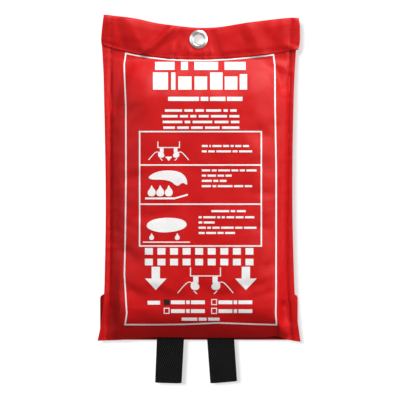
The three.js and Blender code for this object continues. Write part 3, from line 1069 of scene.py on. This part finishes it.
def print_hands(bm, centre, top, size=1.0):
    """A pouch's foot with two tapes, and a hand that holds each."""
    stroke(bm, moved([(-14, 8), (-14, 0), (14, 0), (14, 8)], centre, top, size), 0.9)
    for side in (LEFT, RIGHT):
        bar(bm, centre + size * (side * 9 - 2.4), centre + size * (side * 9 + 2.4), top - 0.6, top - 6.5 * size)
        mark(bm, smoothed(moved(FIST, centre + side * 8.5 * size, top - 5.6 * size, size, side)))
        sleeve = [(3, -2), (8, 0), (13, -5), (18, -11)]
        stroke(bm, smoothed(moved(sleeve, centre + side * 8 * size, top - 5 * size, size, side), closed=False), 0.8)
        cuff = [(2, -9.5), (-1, -12.5)]
        stroke(bm, moved(cuff, centre + side * 9 * size, top - 4.2 * size, size, side), 0.8)


def print_pictures(bm):
    print_hands(bm, 6.4, -221, 1.0)
    print_hands(bm, -28, -101, 0.72)
    mark(bm, [(-28, -113.6), (-31.4, -109.4), (-24.6, -109.4)])
    for left in (-44, -36, -28):
        mark(bm, smoothed(moved(FLAME, left, -143.5, 0.9)))
    bar(bm, -50, -22, -147.6, -149.4)
    drape = [(-50, -131), (-40, -123), (-22, -122), (-12, -127), (-10, -137), (-15, -133), (-20, -138), (-27, -131)]
    mark(bm, smoothed(drape))
    stroke(bm, [(-22, -148.4), (-10, -145)], 1.6)
    roll = [(-50, -176), (-46, -169), (-30, -166), (-14, -168), (-10, -174), (-18, -179), (-36, -181)]
    mark(bm, smoothed(roll))
    for left in (-44, -20):
        mark(bm, smoothed(moved(FLAME, left, -185.5, 0.55)))
    stroke(bm, [(-52, -189.4), (-8, -189.4)], 1.0)


def print_orders(bm):
    for top, foot in ((-194.9, -201.1), (-204.9, -211.1)):
        for i in range(9):
            left = -50.2 + 11.75 * i
            bar(bm, left, left + 7.4, top, foot)
    for head_left, head_right in ((-50.1, -30), (34, 54.3)):
        middle = (head_left + head_right) / 2
        half_shaft = 3.9  # of the arrow
        bar(bm, middle - half_shaft, middle + half_shaft, -212.4, -223.4)
        mark(bm, [(head_left, -223.4), (middle, -234.1), (head_right, -223.4)])


def print_sizes(bm):
    words(bm, -47.7, -36, -244.2, -247.8, (4,))
    for row, top in enumerate((-243, -251.2)):
        for left in (-32.2, 12.2):
            if row or left > 0:
                square = [(left, top - 4.8), (left + 4.6, top - 4.8), (left + 4.6, top), (left, top)]
                stroke(bm, square, 0.8, closed=True)
            words(bm, left + 6.4, left + 38, top - 0.9, top - 4.4, (4, 1, 4), 1.2)
    words(bm, -15.8, 19.7, -259.9, -262.8, (4, 2, 3), 1.4)


def press_on(name, draw, finish):
    """Cuts flat marks into cells and lays them on the front of the pouch."""
    bm = bmesh.new()
    for part in draw:
        part(bm)
    bmesh.ops.remove_doubles(bm, verts=bm.verts, dist=1e-7)
    for axis, low, high in ((Vector((1, 0, 0)), -72, 74), (Vector((0, 0, 1)), -268, -12)):
        for i in range(int((high - low) / INK_CELL)):
            cut = axis * (low + INK_CELL * i) * MM
            everything = bm.verts[:] + bm.edges[:] + bm.faces[:]
            bmesh.ops.bisect_plane(bm, geom=everything, dist=1e-7, plane_co=cut, plane_no=axis)
    bmesh.ops.triangulate(bm, faces=bm.faces)
    for vert in bm.verts:
        sight = (vert.co - camera.location).normalized()
        point, facing, _, _ = front_tree.ray_cast(camera.location, sight)
        vert.co = point + facing * INK_LIFT * MM
    everything = bm.verts[:] + bm.edges[:] + bm.faces[:]
    lip_line = Vector((0, 0, PANEL_FOOT * MM))
    bmesh.ops.bisect_plane(bm, geom=everything, dist=1e-7, plane_co=lip_line, plane_no=(0, 0, 1))
    for face in bm.faces:
        face.normal_update()
        if face.normal.y > 0:
            face.normal_flip()
    return to_piece(name, bm, finish)


def print_chosen_size(bm):
    bar(bm, -32.4, -27.2, -242.8, -248.2)


whole_print = press_on(
    "whole_print",
    [print_frame, print_title, print_small_lines, print_instructions, print_pictures, print_orders, print_sizes],
    white_ink,
)
white_print = keep_faces(whole_print, "white_print", lambda face: not is_lip(face))
lip_print = keep_faces(whole_print, "lip_print", is_lip)
bpy.data.objects.remove(whole_print)
black_print = press_on("black_print", [print_chosen_size], black_ink)
for film in (white_print, lip_print, black_print):
    attach(film, "pouch", None)
give_way(lip_print)

# %% [markdown]
# ## Closing flap
# Behind the lower edge a flap of the same cloth is folded up and held to the back by hook and loop
# tape. It swings down about its fold. The flap itself stays flat, and the fold is a narrow strip of
# the same sheet, turned round between the pouch and the flap. The sheet stays where it is made and
# is tied to no body, so nothing here bends the fold.

# %% Flap and its fold
flap_low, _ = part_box("closure_flap")
FLAP_FOOT = flap_low.z / MM
FLAP_TOP = -238.2
FLAP_FRONT = flap_low.y / MM
FLAP_COLUMNS = 90
FLAP_ROWS = 26
FOLD_ROWS = 12
FOLD_START = 0.35  # just behind the back panel's rear face
HEM = 5


def fold_point(share, turn):
    """The strip that runs from the back panel's lower edge round to the flap's."""
    rear = FLAP_FRONT + CLOTH
    middle, radius = (rear + FOLD_START) / 2, (rear - FOLD_START) / 2
    return (share * 92.3, middle - radius * math.cos(turn), FLAP_FOOT - radius * 0.8 * math.sin(turn))


def flap_point(column, row):
    share = 2 * column / FLAP_COLUMNS - 1
    if row < FOLD_ROWS:
        return fold_point(share, math.pi * row / FOLD_ROWS)
    climb = (row - FOLD_ROWS) / FLAP_ROWS
    z = mix(FLAP_FOOT, FLAP_TOP + 0.5 * slack(share, 0, 0.4, 21), climb)
    corner = clamp((z - FLAP_TOP + 4) / 4)
    half = (92.9 if share > 0 else 92.3) - 3.4 * (1 - math.sqrt(1 - corner**2))
    x = share * mix(92.3, half, ease(climb, 0, 0.2))
    edge = ease(abs(share), 0.7, 1) + ease(z, FLAP_TOP - 12, FLAP_TOP)
    hem = 0.35 * ease(z, FLAP_TOP - HEM - 0.6, FLAP_TOP - HEM)
    sway = 0.8 * abs(slack(x, z, 26, 23)) * min(edge, 1) * ease(climb, 0, 0.3)
    return (x, FLAP_FRONT + CLOTH + sway + hem, z)


flap_shape = cloth_grid(FLAP_COLUMNS, FOLD_ROWS + FLAP_ROWS, flap_point)
flap_tree = BVHTree.FromBMesh(flap_shape)
closure_flap_cloth = to_piece("closure_flap_cloth", flap_shape, red_fabric)
flap_edges = [((-95, level), (95, level)) for level in (FLAP_TOP, -280)]
paint_wear(closure_flap_cloth, lambda x, z: max(ridge(x, z, edge, 1.5) for edge in flap_edges))
thicken(closure_flap_cloth, SHEET)
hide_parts("closure_flap")
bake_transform(closure_flap_cloth)

flap_line = [(x, FLAP_TOP - HEM) for x in range(-89, 90, 2)]
flap_stitches = stitch_rows("flap_stitches", [row_on(flap_tree, flap_line, 1)], red_thread)
attach(flap_stitches, "flap", "red_thread", "flap_thread")

# %% [markdown]
# ### Hook and loop tape
# Both halves are narrow woven strips, one with stiff little hooks and one with a pile of loops. The
# base is a thin rounded plate. Rows of small stubs make the hooks, each only a few faces, because
# there are hundreds of them.

# %% Hook and loop strips
def tape_base(bm, node, thickness, towards):
    low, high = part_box(node)
    back = low.y if towards > 0 else high.y
    centre = Vector(((low.x + high.x) / 2, back + towards * thickness / 2 * MM, (low.z + high.z) / 2))
    size = Matrix.Diagonal((high.x - low.x, thickness * MM, high.z - low.z, 1))
    made = bmesh.ops.create_cube(bm, size=1, matrix=Matrix.Translation(centre) @ size)
    edges = {edge for vert in made["verts"] for edge in vert.link_edges}
    bmesh.ops.bevel(
        bm, geom=list(edges), offset=0.15 * MM, segments=2, profile=0.5, affect="EDGES", material=-1
    )
    return low, high


def pile(bm, node, towards, base, stub_height, pitch, thin):
    """A strip whose stubs point along Y, towards 1 or -1, in staggered rows."""
    low, high = tape_base(bm, node, base, towards)
    back = (low.y if towards > 0 else high.y) + towards * base * MM
    rng = random.Random(7)
    rows = int((high.z - low.z) / MM / pitch) - 1
    columns = int((high.x - low.x) / MM / pitch) - 1
    turn = Matrix.Rotation(math.radians(-90 * towards), 4, "X")
    for row in range(rows):
        for column in range(columns):
            x = low.x + (column + 1 + 0.5 * (row % 2)) * pitch * MM
            z = low.z + (row + 1) * pitch * MM
            tall = stub_height * rng.uniform(0.75, 1) * MM
            place = Matrix.Translation((x, back + towards * tall / 2, z))
            lean = Matrix.Rotation(rng.uniform(-0.4, 0.4), 4, "Z")
            bmesh.ops.create_cone(
                bm, cap_ends=True, segments=4, radius1=thin * MM, radius2=thin * 0.6 * MM, depth=tall,
                matrix=place @ turn @ lean,
            )


hook_shape = bmesh.new()
pile(hook_shape, "hook_strip", -1, 0.4, 0.5, 2.0, 0.3)
hook_pile = to_piece("hook_pile", hook_shape, hook_and_loop)
hook_pile.data.set_sharp_from_angle(angle=math.radians(30))
attach(hook_pile, "flap", "hook_and_loop", "hook_strip")
loop_shape = bmesh.new()
pile(loop_shape, "loop_strip", 1, 0.5, 0.4, 1.6, 0.6)
loop_pile = to_piece("loop_pile", loop_shape, hook_and_loop)
attach(loop_pile, "pouch", "hook_and_loop", "loop_strip")

# %% [markdown]
# ## Folded blanket
# The blanket is a square metre of glass cloth, folded in seven across and then a little over four
# down: 29 layers in 12 mm. A block with lines on its sides would do from far away. But the fold is
# simple enough to make for real, as one sheet. A point of the cloth runs to and fro across the pack
# in seven passes, and each pass is a layer. The whole bundle of seven then runs up and down.

# %% Fold the blanket
PACK_HALF = 71.5
PACK_TOP = -36.5
PACK_FOOT = -270
PACK_REAR = 3.5
PACK_FRONT = 15.0
PASSES_ACROSS = 7
FOLD_STEPS = 6
FLAT_STEPS = 11
BLANKET_SIDE = 1000
RUN_DOWN = PACK_TOP - PACK_FOOT


def to_and_fro(passes, last_share):
    """Stations along a folded length: (pass, how far across the pass 0..1, how far round the turn 0..1)."""
    stations = []
    for number in range(passes):
        share = last_share if number == passes - 1 else 1
        steps = max(2, round(FLAT_STEPS * share))
        stations += [(number, share * i / steps, 0) for i in range(steps + 1)]
        if number < passes - 1:
            stations += [(number, 1, i / FOLD_STEPS) for i in range(1, FOLD_STEPS)]
    return stations


WIDE = to_and_fro(PASSES_ACROSS, 1)
PASSES_DOWN = math.ceil(BLANKET_SIDE / RUN_DOWN)
LONG = to_and_fro(PASSES_DOWN, BLANKET_SIDE / RUN_DOWN - (PASSES_DOWN - 1))


def pack_front(x, z):
    outer = front_depth(x, max(z, BOXY_TOP)) - CLOTH - 1.4
    foot = 1 - 0.72 * clamp((PACK_FOOT + 20 - z) / 20) ** 1.4
    head = math.sqrt(max(1 - 0.7 * clamp((z - PACK_TOP + 10) / 10) ** 2, 0))
    return PACK_REAR + (min(outer, PACK_FRONT) - PACK_REAR) * foot * head


def blanket_point(column, row):
    wide_pass, wide_share, wide_turn = WIDE[column]
    long_pass, long_share, long_turn = LONG[row]
    layer = (wide_pass + 0.5 + (1 - math.cos(math.pi * wide_turn)) / 2) / PASSES_ACROSS
    across = wide_share if wide_pass % 2 == 0 else 1 - wide_share
    side = 1 if wide_pass % 2 == 0 else -1
    ragged = 1.1 * slack(wide_pass * 3, long_pass * 5, 1.7, 31)
    x = (2 * across - 1) * (PACK_HALF - 1.4 + min(ragged, 0.6)) + side * 0.7 * math.sin(math.pi * wide_turn)
    outer = layer if long_pass % 2 == 0 else 1 - layer
    gap = 1 - layer
    depth = (long_pass + outer) / PASSES_DOWN
    bulge = 0.0
    if long_turn:
        depth = (long_pass + 1 + (-gap if long_pass % 2 == 0 else -layer) * math.cos(math.pi * long_turn)) / PASSES_DOWN
        bulge = 2.6 * (gap if long_pass % 2 == 0 else layer) * math.sin(math.pi * long_turn)
    down = long_share if long_pass % 2 == 0 else 1 - long_share
    z = mix(PACK_TOP - 2.6, PACK_FOOT + 2.6, down) + (-bulge if long_pass % 2 == 0 else bulge)
    rear = PACK_REAR + 1.2 * ease(abs(x), 0.9 * PACK_HALF, PACK_HALF)
    soft = 0.02 * slack(x, z, 30, 33)
    return (x, -mix(rear, pack_front(x, z), clamp(depth + soft * depth * (1 - depth) * 4)), z)


blanket_shape = cloth_grid(len(WIDE) - 1, len(LONG) - 1, blanket_point)
folded_glass_cloth = to_piece("folded_glass_cloth", blanket_shape, glass_cloth)
attach(folded_glass_cloth, "blanket", "glass_fabric", "folded_blanket")

# %% [markdown]
# ## Pull tapes
# Each tape is one length of webbing. Its upper end is sewn to the blanket with a crossed square, and
# its lower end hangs free and swings. It is made whole, as one sheet that stays where it is made and
# is tied to no body, so nothing here bends it at the mouth. Webbing is stiff, with thick selvedges
# and a cut end sealed by heat.

# %% Webbing tapes
TAPE_FRONT = 3.0
TAPE_TOP = -212.2
TAPE_COLUMNS = 12
TAPES = {
    "left": {"mouth": (-38.9, -13.6), "end": (-40.6, -15.9), "foot": (-320.6, -321.2)},
    "right": {"mouth": (7.8, 33.1), "end": (11.0, 35.9), "foot": (-321.3, -319.2)},
}


def tape_maker(word):
    tape = TAPES[word]
    heights = [mix(TAPE_TOP, -276, i / 26) for i in range(26)]
    heights += [mix(-276, -287, i / 22) for i in range(22)]
    heights += [mix(-287, -321, i / 20) for i in range(21)]

    def tape_point(column, row):
        across = column / TAPE_COLUMNS
        down = heights[row]
        free = clamp((-278 - down) / 43)
        left = mix(tape["mouth"][0], tape["end"][0], free)
        right = mix(tape["mouth"][1], tape["end"][1], free)
        foot = mix(tape["foot"][0], tape["foot"][1], across)
        z = mix(down, foot - (-321 - down), free**4)
        corner = 0.5 * (abs(2 * across - 1) ** 12) * (free**30)
        selvedge = 0.12 * math.exp(-min(across, 1 - across) * 25)
        sway = 0.5 * slack(across, down, 14, 41 + len(word)) * ease(free, 0.1, 0.4)
        return (mix(left, right, across), -TAPE_FRONT - selvedge - sway, z + corner)

    return heights, tape_point


def box_stitch_rows(word):
    """The crossed square that sews a tape on, seen from the wall's side."""
    low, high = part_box(f"tape_thread_{word}")
    inset = 0.5 * MM
    corners = [(low.x + inset, low.z), (high.x - inset, low.z), (high.x - inset, high.z), (low.x + inset, high.z)]
    spots = [(Vector((x, -1.75 * MM, z)), Vector((0, 1, 0))) for x, z in corners]
    a, b, c, d = spots
    return [[a, b], [b, c], [c, d], [d, a], [a, c], [b, d]]


for word in TAPES:
    heights, tape_point = tape_maker(word)
    webbing = to_piece(
        f"tape_webbing_{word}", cloth_grid(TAPE_COLUMNS, len(heights) - 1, tape_point, outwards=False), black_webbing
    )
    thicken(webbing, 1.2, sharp=60)
    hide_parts(f"tape_root_{word}", f"pull_tape_{word}")
    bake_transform(webbing)
    tape_stitches = stitch_rows(f"tape_stitches_{word}", box_stitch_rows(word), black_webbing, width=0.9)
    attach(tape_stitches, "blanket", "black_webbing", f"tape_thread_{word}")

# %% [markdown]
# ## Wall, floor and light
# The pouch hangs in front of a white wall. The main light is a large softbox high on the right: it
# rakes across the bulge, leaves the left flank and the foot dark, and puts a sheen on the right
# flank. A weak light on each side fills the rest, and two more light the back. A sun from the upper
# left shines only on the wall, for the soft shadow beside the pouch. Seen from behind, the wall is
# clear. Wall and floor glow a little and reflect little, so that they stay white and not pink.

# %% Wall and floor
WALL_GAP = 0.012
FLOOR_HEIGHT = -0.62


def make_wall_finish():
    finish, tree, shader = new_finish("white_wall", (0.25, 0.25, 0.25), 0.9, Specular_IOR_Level=0.0)
    shader.inputs["Emission Color"].default_value = (1, 1, 1, 1)
    shader.inputs["Emission Strength"].default_value = 0.66
    clear = tree.nodes.new("ShaderNodeBsdfTransparent")
    behind = tree.nodes.new("ShaderNodeNewGeometry").outputs["Backfacing"]
    either = add_node(tree, "ShaderNodeMixShader", Fac=behind)
    tree.links.new(shader.outputs["BSDF"], either.inputs[1])
    tree.links.new(clear.outputs["BSDF"], either.inputs[2])
    tree.links.new(either.outputs["Shader"], tree.nodes["Material Output"].inputs["Surface"])
    return finish


def flat_square(name, matrix, finish):
    bm = bmesh.new()
    bmesh.ops.create_grid(bm, x_segments=1, y_segments=1, size=3, matrix=matrix)
    made = to_piece(name, bm, finish)
    return made


floor_finish, _, floor_shader = new_finish("pale_floor", (0.12, 0.12, 0.12), 0.9, Specular_IOR_Level=0.0)
floor_shader.inputs["Emission Color"].default_value = (1, 1, 1, 1)
floor_shader.inputs["Emission Strength"].default_value = 0.95
floor = flat_square("floor", Matrix.Translation((0, 0, FLOOR_HEIGHT)), floor_finish)
upright = Matrix.Translation((0, WALL_GAP, 0)) @ Matrix.Rotation(math.radians(90), 4, "X")
floor.visible_diffuse = False
floor.visible_glossy = False
wall = flat_square("wall", upright, make_wall_finish())
wall.visible_diffuse = False
wall.visible_glossy = False
wall.visible_transmission = False
wall.visible_shadow = False

# %% Lights
def softbox(name, place, size, power, target=Vector((0, 0, -0.15))):
    lamp = bpy.data.lights.new(name, "AREA")
    lamp.shape = "SQUARE"
    lamp.size = size
    lamp.energy = power
    made = bpy.data.objects.new(name, lamp)
    made.location = target + Vector(place)
    made.rotation_euler = (-Vector(place)).to_track_quat("-Z", "Y").to_euler()
    bpy.context.collection.objects.link(made)
    return made


def light_only(lamp, name, receivers, state):
    """Keeps a light for some receivers (INCLUDE), or from them (EXCLUDE)."""
    lit = bpy.data.collections.new(name)
    for receiver in receivers:
        lit.objects.link(receiver)
    for member in lit.collection_objects:
        member.light_linking.link_state = state
    lamp.light_linking.receiver_collection = lit


key = softbox("key_upper_right", (1.05, -1.55, 2.35), 1.4, 108)
fill_right = softbox("fill_right", (0.75, -0.70, 0.20), 0.5, 3.8)
fill_left = softbox("fill_left", (-0.9, -0.9, 0.28), 0.8, 3.6)
rear_left = softbox("rear_left", (-1.2, 1.6, 1.0), 1.2, 40)
rear_right = softbox("rear_right", (1.3, 1.5, 0.4), 1.2, 15)
for lamp in (key, fill_right, fill_left, rear_left, rear_right):
    light_only(lamp, f"{lamp.name}_not_on_wall", [wall], "EXCLUDE")

sun = bpy.data.lights.new("wall_light", "SUN")
sun.energy = 4.9
sun.angle = math.radians(14)
wall_light = bpy.data.objects.new("wall_light", sun)
wall_light.rotation_euler = Vector((0.27, 1, -0.22)).to_track_quat("-Z", "Y").to_euler()
bpy.context.collection.objects.link(wall_light)
light_only(wall_light, "only_on_wall", [wall], "INCLUDE")

world = bpy.data.worlds.new("studio")
world.use_nodes = True
scene.world = world
room = world.node_tree
background = room.nodes["Background"]
path = room.nodes.new("ShaderNodeLightPath").outputs
seen = sums(room, "MULTIPLY", path["Is Camera Ray"], 0.9)
mirrored = sums(room, "MULTIPLY", path["Is Glossy Ray"], 0.2)
room.links.new(sums(room, "ADD", sums(room, "ADD", seen, mirrored), 0.1), background.inputs["Strength"])
background.inputs["Color"].default_value = (1, 1, 1, 1)
